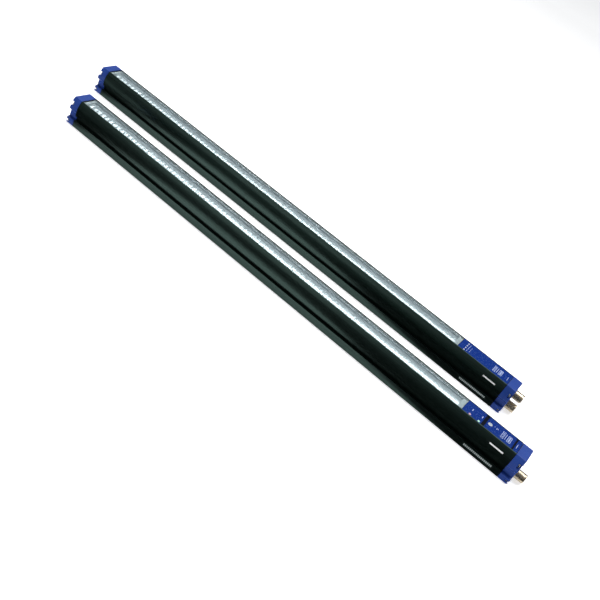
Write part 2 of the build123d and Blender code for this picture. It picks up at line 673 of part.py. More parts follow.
def socket_board(sockets):
    """Upright board behind the sockets, carried by their contacts."""
    x1 = SOCKET_BOARD_BACK + BOARD_THICKNESS
    half = CAVITY_HALF - SOCKET_BOARD_SIDE
    z0 = BACK_WALL + SOCKET_BOARD_FOOT
    board = block(SOCKET_BOARD_BACK, x1, -half, half, z0, LEDGE_Z - SOCKET_BOARD_DROP)
    for z, pin_count in sockets:
        for y, pin_z in pin_places(z, pin_count):
            board -= rod_x(SOCKET_BOARD_BACK - OVERCUT, x1 + OVERCUT, y, pin_z, PIN_RADIUS + PIN_CLEARANCE)
    return board


def common_pieces(sockets, pipes, radius):
    """Pieces that both bars have, by name."""
    strip = lens_strip()
    return {
        "profile": [housing()],
        "window": [window()],
        "window_tapes": window_tapes(),
        "lens_strips": [Pos(x, 0, 0) * strip for x in module_starts()],
        "optics_carriers": optics_carriers(),
        "optics_boards": [Pos(x, 0, 0) * optics_board(x == module_starts()[-1]) for x in module_starts()],
        "optics_diodes": diodes(),
        "board_links": board_links(),
        "control_board": [control_board()],
        "control_chips": control_chips(),
        "status_diodes": status_diodes(pipes),
        "light_pipes": light_pipes(pipes, radius),
        "far_cap": [end_cap(0, FAR_CAP_LENGTH, 1)],
        "near_cap": [near_cap(sockets)],
        "far_gasket": [gasket(FAR_CAP_LENGTH)],
        "near_gasket": [gasket(PROFILE_END)],
        "cap_screws": cap_screws(),
        "socket_shells": [socket_shell(z) for z, _ in sockets],
        "socket_seals": [socket_seal(z) for z, _ in sockets],
        "socket_inserts": [socket_insert(z, pin_count) for z, pin_count in sockets],
        "socket_pins": socket_pins(sockets),
        "socket_board": [socket_board(sockets)],
    }


def emitter_pieces():
    """Emitter: one socket, and a removable cover over its settings."""
    pipes = EMITTER_PIPES
    radius = EMITTER_PIPE_RADIUS
    pieces = common_pieces([(SOCKET_LOW_Z, 5)], pipes, radius)
    pieces["display_tray"] = [display_tray(pipes, True)]
    pieces["status_plate"] = [face_plate(PLATE_CLEARANCE, STATUS_PLATE_LENGTH, pipes, radius)]
    pieces["end_plate"] = [face_plate(END_PLATE_START, DISPLAY_LENGTH - GASKET, [], 0)]
    pieces["cover_seal"] = [cover_seal()]
    pieces["access_cover"] = [access_cover()]
    pieces["cover_screw"] = [cover_screw()]
    pieces["setting_header"] = setting_header()
    return pieces


def receiver_pieces():
    """Receiver: two sockets, and one plate over its display end."""
    pipes = RECEIVER_PIPES
    radius = RECEIVER_PIPE_RADIUS
    pieces = common_pieces([(SOCKET_LOW_Z, 5), (SOCKET_HIGH_Z, 8)], pipes, radius)
    pieces["display_tray"] = [display_tray(pipes, False)]
    pieces["status_plate"] = [face_plate(PLATE_CLEARANCE, DISPLAY_LENGTH - GASKET, pipes, radius)]
    return pieces


def write_bar(name, pieces, x, y):
    """Set a bar in its place and write one file for each named piece."""
    for piece, solids in pieces.items():
        placed = [Pos(x, y, 0) * solid for solid in solids]
        export_step(Compound(children=placed), f"parts/{name}_{piece}.step")


os.makedirs("parts", exist_ok=True)
write_bar("emitter", emitter_pieces(), EMITTER_X, -BAR_SPACING / 2)
write_bar("receiver", receiver_pieces(), EMITTER_X - STAGGER, BAR_SPACING / 2)
print("body length", round(BODY_LENGTH, 3), "protected height", MODULE_LENGTH * MODULES)
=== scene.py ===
# %% [markdown]
# # A safety light curtain in a studio
# Two slim bars watch the gap in front of a machine. The emitter sends a row of infrared beams out of
# its clear window, and the receiver looks for them. The construction comes in as a finished frame, so
# this lesson only dresses it: it gives each surface the finish of the real one, adds the fine shapes
# that a machinist or a printer would add last, and lights the pair like a catalogue picture.

# %% Load the frame
import json
import math
import bpy
import numpy as np
from mathutils import Matrix, Vector


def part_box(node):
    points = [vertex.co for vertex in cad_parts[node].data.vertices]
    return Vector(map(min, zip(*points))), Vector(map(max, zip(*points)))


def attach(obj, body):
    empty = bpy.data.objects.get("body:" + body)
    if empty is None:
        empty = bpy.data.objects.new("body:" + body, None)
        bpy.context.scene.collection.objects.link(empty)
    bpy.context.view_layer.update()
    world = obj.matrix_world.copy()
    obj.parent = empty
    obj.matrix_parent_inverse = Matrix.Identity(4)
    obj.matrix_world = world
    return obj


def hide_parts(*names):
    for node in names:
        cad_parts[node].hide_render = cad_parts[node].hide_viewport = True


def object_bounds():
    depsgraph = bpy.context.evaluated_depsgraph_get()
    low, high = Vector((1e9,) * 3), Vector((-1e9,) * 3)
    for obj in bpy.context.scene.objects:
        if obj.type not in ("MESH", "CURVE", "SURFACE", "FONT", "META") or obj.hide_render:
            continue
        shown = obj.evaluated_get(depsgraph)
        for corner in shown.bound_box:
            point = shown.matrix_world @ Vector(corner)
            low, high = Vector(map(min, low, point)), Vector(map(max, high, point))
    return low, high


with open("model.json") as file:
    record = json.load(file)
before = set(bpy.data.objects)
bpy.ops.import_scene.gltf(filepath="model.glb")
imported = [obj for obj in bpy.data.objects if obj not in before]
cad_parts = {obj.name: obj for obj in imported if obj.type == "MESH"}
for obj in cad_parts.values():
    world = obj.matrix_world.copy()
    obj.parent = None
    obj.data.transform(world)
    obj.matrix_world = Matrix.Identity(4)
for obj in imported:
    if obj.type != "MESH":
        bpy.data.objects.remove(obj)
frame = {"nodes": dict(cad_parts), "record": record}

cad_box = [list(corner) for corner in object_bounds()]
nodes = frame["nodes"]
print("frame:", len(nodes), "nodes, box in mm", np.round((np.array(cad_box[1]) - cad_box[0]) * 1000, 1))

# %% [markdown]
# ## Where things are
# Marks and lights have to land on the bars, so their places are read from the frame. Each bar is
# described by the outer face of its near cap, its middle line and the outer skin of its section. All
# lengths below are in metres, and `MM` turns a size that a maker would give in millimetres into them.

# %% Measures of each bar
MM = 0.001
BARS = ("emitter", "receiver")


def middle(node):
    """Middle of a node's box."""
    low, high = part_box(node)
    return (low + high) / 2


near_face = {bar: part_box(f"{bar}_near_cap")[1].x for bar in BARS}
middle_y = {bar: middle(f"{bar}_profile").y for bar in BARS}
plates = {"emitter": ["status_plate", "access_cover", "end_plate"], "receiver": ["status_plate"]}
half_width = (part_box("emitter_profile")[1].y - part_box("emitter_profile")[0].y) / 2
pins = [mount for mount in frame["record"]["mounts"] if mount["kind"] == "pin"]
sockets = {bar: [pin["pos_m"] for pin in pins if pin["name"].startswith(bar)] for bar in BARS}
print("near faces", {bar: round(x / MM, 1) for bar, x in near_face.items()}, "sockets",
      {bar: len(found) for bar, found in sockets.items()})

# %% [markdown]
# ## Colours and nodes
# Screens show sRGB, but light adds up on a linear scale, so every colour is written as the hex value
# that a painter would pick and turned to linear once. A material is a small tree of nodes. One helper
# adds a node with its settings and joins its inputs, which keeps each recipe short enough to read.

# %% Colour and node helpers
COLOUR_INPUTS, COLOUR_OUTPUT = (6, 7), 2        # places of the colours among a Mix node's sockets
SHADER_INPUTS = (1, 2)                          # places of the shaders among a Mix Shader node's inputs


def linear(code):
    """sRGB hex to linear colour: c / 12.92 up to 0.04045, and ((c + 0.055) / 1.055) ** 2.4 above it."""
    values = [int(code[place:place + 2], 16) / 255 for place in (1, 3, 5)]
    return [c / 12.92 if c <= 0.04045 else ((c + 0.055) / 1.055) ** 2.4 for c in values] + [1.0]


def new_material(name):
    """Empty material with a node tree."""
    material = bpy.data.materials.new(name)
    material.use_nodes = True
    material.node_tree.nodes.clear()
    return material, material.node_tree


def add(tree, kind, inputs=None, **settings):
    """Add a node: settings are its own properties, and inputs are values or other nodes' outputs."""
    node = tree.nodes.new("ShaderNode" + kind)
    for name, value in settings.items():
        setattr(node, name, value)
    for name, value in (inputs or {}).items():
        if isinstance(value, bpy.types.NodeSocket):
            tree.links.new(value, node.inputs[name])
        else:
            node.inputs[name].default_value = value
    return node


def mix_shaders(tree, factor, first, second):
    """Shader that is the first where the factor is 0 and the second where it is 1."""
    mix = add(tree, "MixShader", {"Fac": factor})
    for place, shader in zip(SHADER_INPUTS, (first, second)):
        tree.links.new(shader, mix.inputs[place])
    return mix.outputs["Shader"]


def tell(material):
    """Print a material's name and the number of its nodes."""
    print("material", material.name, "with", len(material.node_tree.nodes), "nodes")


print("sRGB #808080 is", round(linear("#808080")[0], 3), "on the linear scale")

# %% [markdown]
# ### Patterns with a real size
# Noise in Blender repeats about once per unit of its input, so dividing the object's coordinates by a
# size in metres gives grains of that size. Different sizes along X, Y and Z stretch the grain: very
# long along X and thin across gives the drawn lines of an extrusion.

# %% Pattern helpers
NOISE_MIDDLE = (0.3, 0.7)
PLAIN, FINE = 2.0, 3.0          # detail of a noise


def grain(tree, size, detail=PLAIN):
    """Noise whose grains have the given size, one number or three, in metres. Returns its value output."""
    scale = [1 / length for length in (size if hasattr(size, "__len__") else (size,) * 3)]
    place = add(tree, "TexCoord").outputs["Object"]
    mapped = add(tree, "Mapping", {"Vector": place, "Scale": scale})
    noise = add(tree, "TexNoise", {"Vector": mapped.outputs["Vector"], "Scale": 1.0, "Detail": detail})
    return noise.outputs["Fac"]


def spread(tree, value, low, high):
    """Map the middle part of a noise, where most of it lies, to the range from low to high."""
    start, end = NOISE_MIDDLE
    return add(tree, "MapRange", {"Value": value, "From Min": start, "From Max": end, "To Min": low,
                                  "To Max": high}).outputs["Result"]


def blend(tree, factor, first, second):
    """Colour between two hex colours."""
    mix = add(tree, "Mix", {"Factor": factor}, data_type="RGBA")
    for place, code in zip(COLOUR_INPUTS, (first, second)):
        mix.inputs[place].default_value = linear(code)
    return mix.outputs[COLOUR_OUTPUT]


def raised(tree, height, depth, strength, under=None):
    """Bump normal for a pattern of the given depth in metres, over another bump if there is one."""
    inputs = {"Height": height, "Distance": depth, "Strength": strength}
    if under is not None:
        inputs["Normal"] = under
    return add(tree, "Bump", inputs).outputs["Normal"]


def finish_material(tree, inputs):
    """Join a Principled shader with these inputs to the material's output."""
    shader = add(tree, "BsdfPrincipled", inputs)
    add(tree, "OutputMaterial", {"Surface": shader.outputs["BSDF"]})


print("a noise from", NOISE_MIDDLE[0], "to", NOISE_MIDDLE[1], "is spread over each range")

# %% [markdown]
# ## The housing: black anodised aluminium
# The body is pushed through a die as one long bar, so its skin carries fine straight lines. Etching and
# anodising leave a hard, dyed oxide film: nearly black, satin, with a slightly green-grey sheen where a
# lamp glances off it. A metal base with a very dark colour gives that sheen; a plain black plastic
# would reflect a sharper and whiter light.

# %% Black anodised aluminium
DIE_LINE = (400 * MM, 0.5 * MM, 0.5 * MM)
ETCH_GRAIN = 0.25 * MM
LINE_DEPTH = 0.006 * MM
ETCH_DEPTH = 0.004 * MM


def black_anodised_aluminium():
    """Dark metal, rougher and lighter along fine lines, with a matt etch between them."""
    material, tree = new_material("black_anodised_aluminium")
    lines = grain(tree, DIE_LINE, FINE)
    etch = grain(tree, ETCH_GRAIN)
    bump = raised(tree, etch, ETCH_DEPTH, 0.35)
    finish_material(tree, {
        "Base Color": blend(tree, spread(tree, lines, 0, 1), "#2B3A36", "#364742"),
        "Metallic": 0.9,
        "Roughness": spread(tree, lines, 0.27, 0.36),
        "Normal": raised(tree, lines, LINE_DEPTH, 0.5, bump),
    })
    return material


anodised = black_anodised_aluminium()
tell(anodised)

# %% [markdown]
# ## The caps: blue moulded plastic
# Glass-filled nylon is moulded in a spark-eroded tool, and the tool's pits come out as a fine matt grain.
# The colour goes all the way through. It is a touch lighter where the grain stands proud, because the
# tips catch more light.

# %% Blue moulded nylon
MOULD_GRAIN = 0.35 * MM
PIT_DEPTH = 0.02 * MM
FLOW_PATCH = 9 * MM


def blue_moulded_nylon():
    """Blue plastic with a fine grain and a faint, large flow pattern in its colour."""
    material, tree = new_material("blue_moulded_nylon")
    pits = grain(tree, MOULD_GRAIN, FINE)
    flow = grain(tree, FLOW_PATCH)
    finish_material(tree, {
        "Base Color": blend(tree, spread(tree, flow, 0.2, 0.8), "#23408C", "#294694"),
        "Roughness": spread(tree, pits, 0.26, 0.36),
        "Specular IOR Level": 0.25,
        "Normal": raised(tree, pits, PIT_DEPTH, 0.35),
    })
    return material


nylon = blue_moulded_nylon()
tell(nylon)

# %% [markdown]
# ## The display plates: printed film
# Behind the window sits a row of plates in a deeper, glossier blue. On the real product this is a film
# printed from behind, so its face is smooth and its colour sits just under it. A clear coat over a
# satin base gives that depth.

# %% Blue printed film
PRINT_SCREEN = 2 * MM
FILM_WAVE = 14 * MM
FILM_WAVE_DEPTH = 0.03 * MM


def blue_printed_film():
    """Deep blue under a smooth clear coat."""
    material, tree = new_material("blue_printed_film")
    dots = grain(tree, PRINT_SCREEN)
    waves = grain(tree, FILM_WAVE)
    finish_material(tree, {
        "Base Color": blend(tree, spread(tree, dots, 0, 1), "#0C2E7A", "#0D307D"),
        "Roughness": spread(tree, dots, 0.26, 0.28),
        "Specular IOR Level": 0.1,
        "Coat Weight": 0.12,
        "Coat Roughness": 0.04,
        "Normal": raised(tree, waves, FILM_WAVE_DEPTH, 0.3),
    })
    return material


film = blue_printed_film()
tell(film)

# %% [markdown]
# ## The window and the lenses: clear acrylic
# Acrylic bends light a little less than glass, with an index of 1.49. The window is a polished sheet and
# the lenses are moulded. Light that the pieces below scatter leaves in the same way, which spares the
# picture some grain. The camera and all mirrored rays still find a refracting sheet.

# %% Clear acrylic
ACRYLIC_IOR = 1.49
SHEET_WAVE = 12 * MM
RIPPLE_DEPTH = 0.01 * MM


def clear_acrylic_sheet():
    """Polished, refracting plastic that lets lamp rays and scattered light straight through."""
    material, tree = new_material("clear_acrylic_sheet")
    tint = linear("#F4F8F8")
    ripple = grain(tree, SHEET_WAVE)
    shader = add(tree, "BsdfPrincipled", {
        "Base Color": tint,
        "Transmission Weight": 1.0,
        "IOR": ACRYLIC_IOR,
        "Roughness": spread(tree, ripple, 0.0, 0.03),
        "Normal": raised(tree, ripple, RIPPLE_DEPTH, 0.2),
    })
    open_air = add(tree, "BsdfTransparent", {"Color": tint}).outputs["BSDF"]
    path = add(tree, "LightPath")
    bounced = mix_shaders(tree, path.outputs["Is Diffuse Ray"], shader.outputs["BSDF"], open_air)
    mix = mix_shaders(tree, path.outputs["Is Shadow Ray"], bounced, open_air)
    add(tree, "OutputMaterial", {"Surface": mix})
    return material


window_acrylic = clear_acrylic_sheet()
tell(window_acrylic)

# %% [markdown]
# The lenses look silvery on the real bar, because the tunnels behind them throw the light back. A clear
# shader would show the black housing instead, so this one paints that returned light into its colour: a pale
# plastic with a share of metal in it, a painted reflection of the tunnels. Its smooth coat draws the lamps as
# bright arcs, one on each lens.

# %% Moulded lenses with a painted silvery reflection
LENS_RIPPLE = 3 * MM


def lenses_painted_back_light():
    """Pale silvery colour as a painted reflection of the light from the tunnels, under a polished skin."""
    material, tree = new_material("acrylic_lenses_painted_back_light")
    ripple = grain(tree, LENS_RIPPLE)
    finish_material(tree, {
        # painted reflection: the pale silvery base stands in for the light the tunnels throw back through the
        # clear lens
        "Base Color": blend(tree, spread(tree, ripple, 0, 1), "#A8B1B6", "#B4BDC2"),
        "Metallic": 0.3,
        "IOR": ACRYLIC_IOR,
        "Roughness": spread(tree, ripple, 0.28, 0.32),
        "Coat Weight": 0.4,
        "Coat Roughness": 0.1,
        "Normal": raised(tree, ripple, RIPPLE_DEPTH, 0.2),
    })
    return material


lens_acrylic = lenses_painted_back_light()
tell(lens_acrylic)

# %% [markdown]
# ## Inside the window
# Under the lenses lies a carrier with a light tunnel for each beam. It is moulded in a pale silvery
# plastic, which is what makes the window look grey with bright spots. The boards are green with their
# solder mask, and each tunnel ends in a small clear diode.

# %% Carrier, boards and diodes
SPECKLE_DEPTH = 0.01 * MM


def speckled(name, colours, size, roughness, metallic=0.0, depth=SPECKLE_DEPTH, specular=0.5):
    """Two close colours in grains of one size, with the roughness following them."""
    material, tree = new_material(name)
    grains = grain(tree, size, FINE)
    finish_material(tree, {
        "Base Color": blend(tree, spread(tree, grains, 0, 1), *colours),
        "Metallic": metallic,
        "Specular IOR Level": specular,
        "Roughness": spread(tree, grains, *roughness),
        "Normal": raised(tree, grains, depth, 0.3),
    })
    return material


foam_tape = speckled("grey_foam_tape", ("#8E969A", "#9CA4A8"), 0.6 * MM, (0.5, 0.65))
carrier = speckled("silvery_moulded_carrier", ("#A2AAAE", "#B2BABE"), 0.5 * MM, (0.3, 0.42), 0.15)
solder_mask = speckled("green_solder_mask", ("#0B4A26", "#115A30"), 1.2 * MM, (0.3, 0.4))
diode_resin = speckled("clear_diode_resin", ("#D8DCD2", "#ECEFE8"), 0.5 * MM, (0.12, 0.2))
for material in (foam_tape, carrier, solder_mask, diode_resin):
    tell(material)

# %% [markdown]
# ## Status lights
# A light pipe is a clear rod that carries the glow of a small diode up to the face. Seen from outside
# it is a milky dot with a hint of the diode's colour, so each pipe gets a little emission of its own.
# The emitter has a rose one and a green one, and the receiver's four are pale.

# %% Light pipes
PIPE_CLOUD = 0.8 * MM


def lit_pipe(name, first, second, border, power):
    """Milky plastic with a faint glow: one colour up to a place along the bar and another past it."""
    material, tree = new_material(name)
    cloud = grain(tree, PIPE_CLOUD)
    place = add(tree, "TexCoord").outputs["Object"]
    along = add(tree, "SeparateXYZ", {"Vector": place}).outputs["X"]
    side = add(tree, "MapRange", {"Value": along, "From Min": border - MM, "From Max": border + MM})
    finish_material(tree, {
        "Base Color": blend(tree, side.outputs["Result"], first, second),
        "Roughness": spread(tree, cloud, 0.15, 0.25),
        "Emission Color": blend(tree, side.outputs["Result"], first, second),
        "Emission Strength": power,
        "Coat Weight": 0.5,
    })
    return material


pipe_border = middle("emitter_light_pipes").x
two_lights = lit_pipe("rose_and_green_light_pipes", "#BFA0A8", "#B0DCC6", pipe_border, 0.25)
pale_light = lit_pipe("pale_light_pipes", "#CFD8DD", "#D6DFE3", pipe_border, 0.2)
tell(two_lights)
tell(pale_light)

# %% [markdown]
# ## Dressing the frame
# Each node of the frame keeps its mesh and only gets a material. The plain finishes come first: rubber,
# plated metal and ink all show a fine speckle of two close colours. The table then says which finish
# each kind of piece has; both bars use the same one.

# %% Finishes by piece
black_nylon = speckled("black_moulded_nylon", ("#0C0D0E", "#141517"), 0.4 * MM, (0.4, 0.55), specular=0.25)
rubber = speckled("black_nitrile_rubber", ("#0A0B0B", "#121313"), 0.6 * MM, (0.6, 0.75), specular=0.15)
zinc = speckled("zinc_plated_steel", ("#B8BDC2", "#D3D8DB"), 0.5 * MM, (0.22, 0.34), 1.0)
nickel = speckled("nickel_plated_brass", ("#C8BDA8", "#DDD4C2"), 1.5 * MM, (0.24, 0.32), 1.0, 0.003 * MM)
gold = speckled("gold_plated_contact", ("#D0A13A", "#E3B95A"), 0.5 * MM, (0.15, 0.25), 1.0)
tray = speckled("black_moulded_tray", ("#060A14", "#0A101E"), 0.5 * MM, (0.45, 0.6), specular=0.03)
ink = speckled("pale_printing_ink", ("#A3B5DE", "#BACAEC"), 0.4 * MM, (0.45, 0.6))
white_ink = speckled("white_printing_ink", ("#ECEFEF", "#F8FAFA"), 0.4 * MM, (0.5, 0.6))
grey_ink = speckled("grey_printing_ink", ("#93A19F", "#A9B5B3"), 0.4 * MM, (0.5, 0.6))
satin_nickel = speckled("satin_nickel_screw", ("#8E959D", "#A5ABB2"), 0.5 * MM, (0.4, 0.5), 0.6)

FINISH = {
    "profile": anodised, "near_cap": nylon, "far_cap": nylon, "status_plate": film, "end_plate": film,
    "access_cover": film, "window": window_acrylic, "lens_strips": lens_acrylic,
    "optics_carriers": carrier, "optics_boards": solder_mask, "control_board": solder_mask,
    "socket_board": solder_mask, "optics_diodes": diode_resin, "status_diodes": diode_resin,
    "board_links": black_nylon, "setting_header": black_nylon, "control_chips": black_nylon,
    "socket_inserts": black_nylon, "window_tapes": foam_tape, "far_gasket": rubber, "near_gasket": rubber,
    "cover_seal": rubber, "socket_seals": rubber, "cap_screws": zinc, "cover_screw": satin_nickel,
    "socket_shells": nickel, "socket_pins": gold, "display_tray": tray, "light_pipes": two_lights,
}


def dress(piece, material):
    """Give an object one material."""
    piece.data.materials.clear()
    piece.data.materials.append(material)


for name, node in nodes.items():
    dress(node, FINISH[name.split("_", 1)[1]])
dress(nodes["receiver_light_pipes"], pale_light)
print("dressed", len(nodes), "nodes in", len(set(FINISH.values())), "finishes")

# %% [markdown]
# ## Surfaces from a grid of points
# Every added shape is a sheet of points in rows and columns: two parameters go in and one point comes
# out. Joining neighbours gives quads. A tube closes its columns into a ring, and a ring of rings closes
# its rows too, so no edge is left open.

# %% Grids and objects
def grid_faces(rows, columns, closed_rows):
    """Quads between neighbours of a grid whose columns close into a ring."""
    number = np.arange(rows * columns).reshape(rows, columns)
    below = number if closed_rows else number[:-1]
    above = np.roll(number, -1, axis=0) if closed_rows else number[1:]
    quads = np.stack([below, np.roll(below, -1, axis=1), np.roll(above, -1, axis=1), above], axis=-1)
    return quads.reshape(-1, 4)


def signed_volume(points, quads):
    """Sum of the tetrahedra from the origin to each quad's two triangles: positive when faces look out."""
    a, b, c, d = (points[quads[:, corner]] for corner in range(4))
    return (np.einsum("ij,ij->i", a, np.cross(b, c)) + np.einsum("ij,ij->i", a, np.cross(c, d))).sum() / 6


def new_object(name, points, faces, material):
    """Object of the given points and faces, linked to the scene and dressed in one material."""
    mesh = bpy.data.meshes.new(name)
    mesh.from_pydata(np.asarray(points).tolist(), [], np.asarray(faces).tolist())
    mesh.validate()
    piece = bpy.data.objects.new(name, mesh)
    bpy.context.scene.collection.objects.link(piece)
    dress(piece, material)
    return piece


def mesh_object(name, shells, material):
    """One piece from closed grids. Each shell is (points, closed_rows), with points in rows and columns."""
    all_points, all_quads, count = [], [], 0
    for points, closed_rows in shells:
        rows, columns = points.shape[:2]
        flat = points.reshape(-1, 3)
        quads = grid_faces(rows, columns, closed_rows)
        if signed_volume(flat - flat.mean(axis=0), quads) < 0:
            quads = quads[:, ::-1]
        all_points.append(flat)
        all_quads.append(quads + count)
        count += len(flat)
    piece = new_object(name, np.concatenate(all_points), np.concatenate(all_quads), material)
    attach(piece, "root")
    return piece


print("a ring of 4 rings of 6 points has", len(grid_faces(4, 6, True)), "faces")

# %% [markdown]
# ## Threads on the sockets
# The plug of a cable screws onto a 12 mm thread with a 1 mm pitch. A thread is a radius that depends on
# two things at once, how far along and how far round, so it needs no special tool: one formula gives
# the whole shell, from the thread over the chamfered mouth and down the bore with its key rib.

# %% Thread and shell sizes
THREAD_RADIUS = 6.0 * MM
THREAD_PITCH = 1.0 * MM
THREAD_DEPTH = 0.55 * MM
THREAD_FADE = 0.8 * MM          # length over which the cut starts
TIP_SHARE = 0.6                 # share of the full cut that is left at the tip
CREST_SHARE = 0.3
NECK_RADIUS = 5.7 * MM
FLANGE_RADIUS = 7.15 * MM
FLANGE_THICKNESS = 2 * MM
SHELL_BEHIND = 5.0 * MM         # how far the shell reaches in behind the cap's face
BORE_RADIUS = 4.3 * MM
BORE_LIP = 0.3 * MM
TIP_CHAMFER = 0.5 * MM
KEY_HEIGHT = 0.6 * MM
KEY_HALF_WIDTH = 0.75 * MM
KEY_FLANK = 0.2 * MM
KEY_END = 3 * MM                # in front of the cap's face
BORE_FINE_END = 1 * MM          # in front of the cap's face, past the rib's end
STEPS_AROUND = 96
STEPS_PER_PITCH = 10
BORE_STEPS = 24
print("thread", round(2 * THREAD_RADIUS / MM, 1), "mm, pitch", round(THREAD_PITCH / MM, 1), "mm")


# %% Threaded shells
def thread_cut(along, angle, start, end):
    """Depth of the cut: the distance from the nearest crest, as a trapezoid, faded out at both ends."""
    phase = (along / THREAD_PITCH - angle / (2 * math.pi)) % 1.0
    flank = np.abs(phase - 0.5) * 2
    trapezoid = np.clip((1 - flank - CREST_SHARE / 2) / (1 - CREST_SHARE), 0, 1)
    start_fade = np.clip((along - start) / THREAD_FADE, 0, 1)
    end_fade = np.clip((end - along) / THREAD_FADE + TIP_SHARE, 0, 1)
    return THREAD_DEPTH * trapezoid * start_fade * end_fade


def key_rib(along, angle, face_x):
    """Height of the rib on the upper side of the bore."""
    from_top = np.abs((angle - math.pi / 2 + math.pi) % (2 * math.pi) - math.pi) * BORE_RADIUS
    rib = np.clip((KEY_HALF_WIDTH - from_top) / KEY_FLANK, 0, 1)
    return KEY_HEIGHT * rib * (along > face_x + KEY_END)


def threaded_shell(face_x, reach_x, y, z):
    """Closed skin of a shell: points run out along the outside and back down the bore, round the axis."""
    rear_x = face_x - SHELL_BEHIND
    flange_x = rear_x + FLANGE_THICKNESS
    steps = int((reach_x - face_x) / THREAD_PITCH * STEPS_PER_PITCH)
    rear = [(rear_x, BORE_RADIUS), (rear_x, FLANGE_RADIUS), (flange_x, FLANGE_RADIUS),
            (flange_x, NECK_RADIUS), (face_x, NECK_RADIUS)]
    thread = [(x, THREAD_RADIUS) for x in np.linspace(face_x, reach_x - TIP_CHAMFER, steps)]
    front = [(reach_x, THREAD_RADIUS - TIP_CHAMFER), (reach_x, BORE_RADIUS + BORE_LIP),
             (reach_x - BORE_LIP, BORE_RADIUS)]
    bore = [(x, BORE_RADIUS) for x in np.linspace(reach_x - 2 * BORE_LIP, face_x + BORE_FINE_END, BORE_STEPS)]
    along, radius = np.array(rear + thread + front + bore).T
    angle = np.linspace(0, 2 * math.pi, STEPS_AROUND, endpoint=False)
    grid_along, grid_angle = np.meshgrid(along, angle, indexing="ij")
    grid_radius = np.repeat(radius[:, None], STEPS_AROUND, axis=1)
    on_thread = slice(len(rear), len(rear) + steps)
    in_bore = slice(len(along) - BORE_STEPS, len(along))
    grid_radius[on_thread] -= thread_cut(grid_along[on_thread], grid_angle[on_thread], face_x, reach_x)
    grid_radius[in_bore] -= key_rib(grid_along[in_bore], grid_angle[in_bore], face_x)
    across = y + grid_radius * np.cos(grid_angle)
    up = z + grid_radius * np.sin(grid_angle)
    return np.stack([grid_along, across, up], axis=-1)


for bar in BARS:
    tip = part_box(f"{bar}_socket_shells")[1].x
    shells = [(threaded_shell(near_face[bar], tip, y, z), True) for _, y, z in sockets[bar]]
    threads = mesh_object(f"{bar}_threaded_sockets", shells, nickel)
    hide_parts(f"{bar}_socket_shells")
    print(threads.name, len(threads.data.polygons), "faces")

# %% [markdown]
# ## Printed marks
# Ink stands a few hundredths of a millimetre above the plate. A mark is a thin lozenge whose outline is
# a rounded rectangle. Only plain bars, dots and frames are printed here.

# %% Flat marks
INK_HEIGHT = 0.04 * MM
CORNER_STEPS = 5
PINCHED = 1e-3          # a mark without a hole closes at an inner ring of this share of its size


def rounded_outline(length, width, corner):
    """Points round a rectangle with quarter-circle corners, anticlockwise, centred on 0."""
    turn = np.linspace(0, math.pi / 2, CORNER_STEPS)
    quarter = np.stack([np.cos(turn), np.sin(turn)], axis=-1) * corner
    centre = np.array([length / 2 - corner, width / 2 - corner])
    sides = []
    for number, (sx, sy) in enumerate(((1, 1), (-1, 1), (-1, -1), (1, -1))):
        points = quarter * (sx, sy) + centre * (sx, sy)
        sides.append(points if number % 2 == 0 else points[::-1])
    return np.concatenate(sides)


def flat_mark(x, y, z, length, width, corner, hole=0.0):
    """Thin closed skin over a rounded rectangle; a hole of that border width makes it a frame."""
    outline = rounded_outline(length, width, corner)
    if hole:
        inner = rounded_outline(length - 2 * hole, width - 2 * hole, max(corner - hole, corner / 4))
    else:
        inner = outline * PINCHED
    rings = [(inner, 0), (outline, 0), (outline, INK_HEIGHT), (inner, INK_HEIGHT)]
    points = np.stack([np.concatenate([ring, np.full((len(ring), 1), lift)], axis=1) for ring, lift in rings])
    return points + np.array([x, y, z]), bool(hole)


print("ink stands", round(INK_HEIGHT / MM, 2), "mm high")

# %% [markdown]
# The legends sit at measured distances from the near cap's outer face and from the bar's middle line.
# Beside each status light there is a short bar, and near the end there is a larger group.

# %% Legends on the display plates
def legend_marks(bar):
    """Marks on a bar's plates in mm: along from the near face, across, length, width, corner, frame."""
    marks = []
    if bar == "emitter":
        marks += [(75.6, 0.6, 0.8, 3.6, 0.2, 0), (62.9, 1.2, 0.8, 3.6, 0.2, 0)]
        marks += [(46.6, 1.6, 0.7, 0.7, 0.3, 0), (44.0, 1.0, 0.5, 3.0, 0.2, 0), (42.6, 1.4, 0.5, 2.2, 0.2, 0)]
    else:
        marks += [(73.6, -7.2 + 4.4 * row, 0.5, 2.6, 0.2, 0) for row in range(4)]
        marks += [(70.2, -6.6 + 4.4 * row, 0.5, 1.8, 0.2, 0) for row in range(3)]
    marks += [(35.0, -5.6 + 3.4 * row, 3.6, 2.6, 0.5, 0.45) for row in range(4)]
    marks += [(31.4, -0.5, 0.5, 11.0, 0.2, 0)]
    marks += [(26.8, -0.5, 4.6, 11.6, 0.6, 0.5)]
    marks += [(26.8, -4.0 + 2.4 * row, 2.2, 1.4, 0.2, 0) for row in range(4)]
    marks += [(16.6, -1.0, 0.5, 8.0, 0.2, 0)]
    return marks


def plate_top(bar, x):
    """Height of the plate that lies at a place along the bar."""
    boxes = [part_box(f"{bar}_{plate}") for plate in plates[bar]]
    return next(high.z for low, high in boxes if low.x <= x <= high.x)


for bar in BARS:
    shells = []
    for along, across, length, width, corner, frame_width in legend_marks(bar):
        x = near_face[bar] - along * MM
        shells.append(flat_mark(x, middle_y[bar] + across * MM, plate_top(bar, x), length * MM,
                                width * MM, corner * MM, frame_width * MM))
    marks = mesh_object(f"{bar}_legend_marks", shells, ink)
    print(marks.name, len(shells), "marks")

# %% [markdown]
# ## Stripes on the flank
# The near flank carries a white stripe and a row of grey dashes. The upper flank is an arc, so the
# stripe is worked out on the arc: one parameter runs along the bar and the other is the angle of the
# arc, and a third layer lifts the ink off the metal.

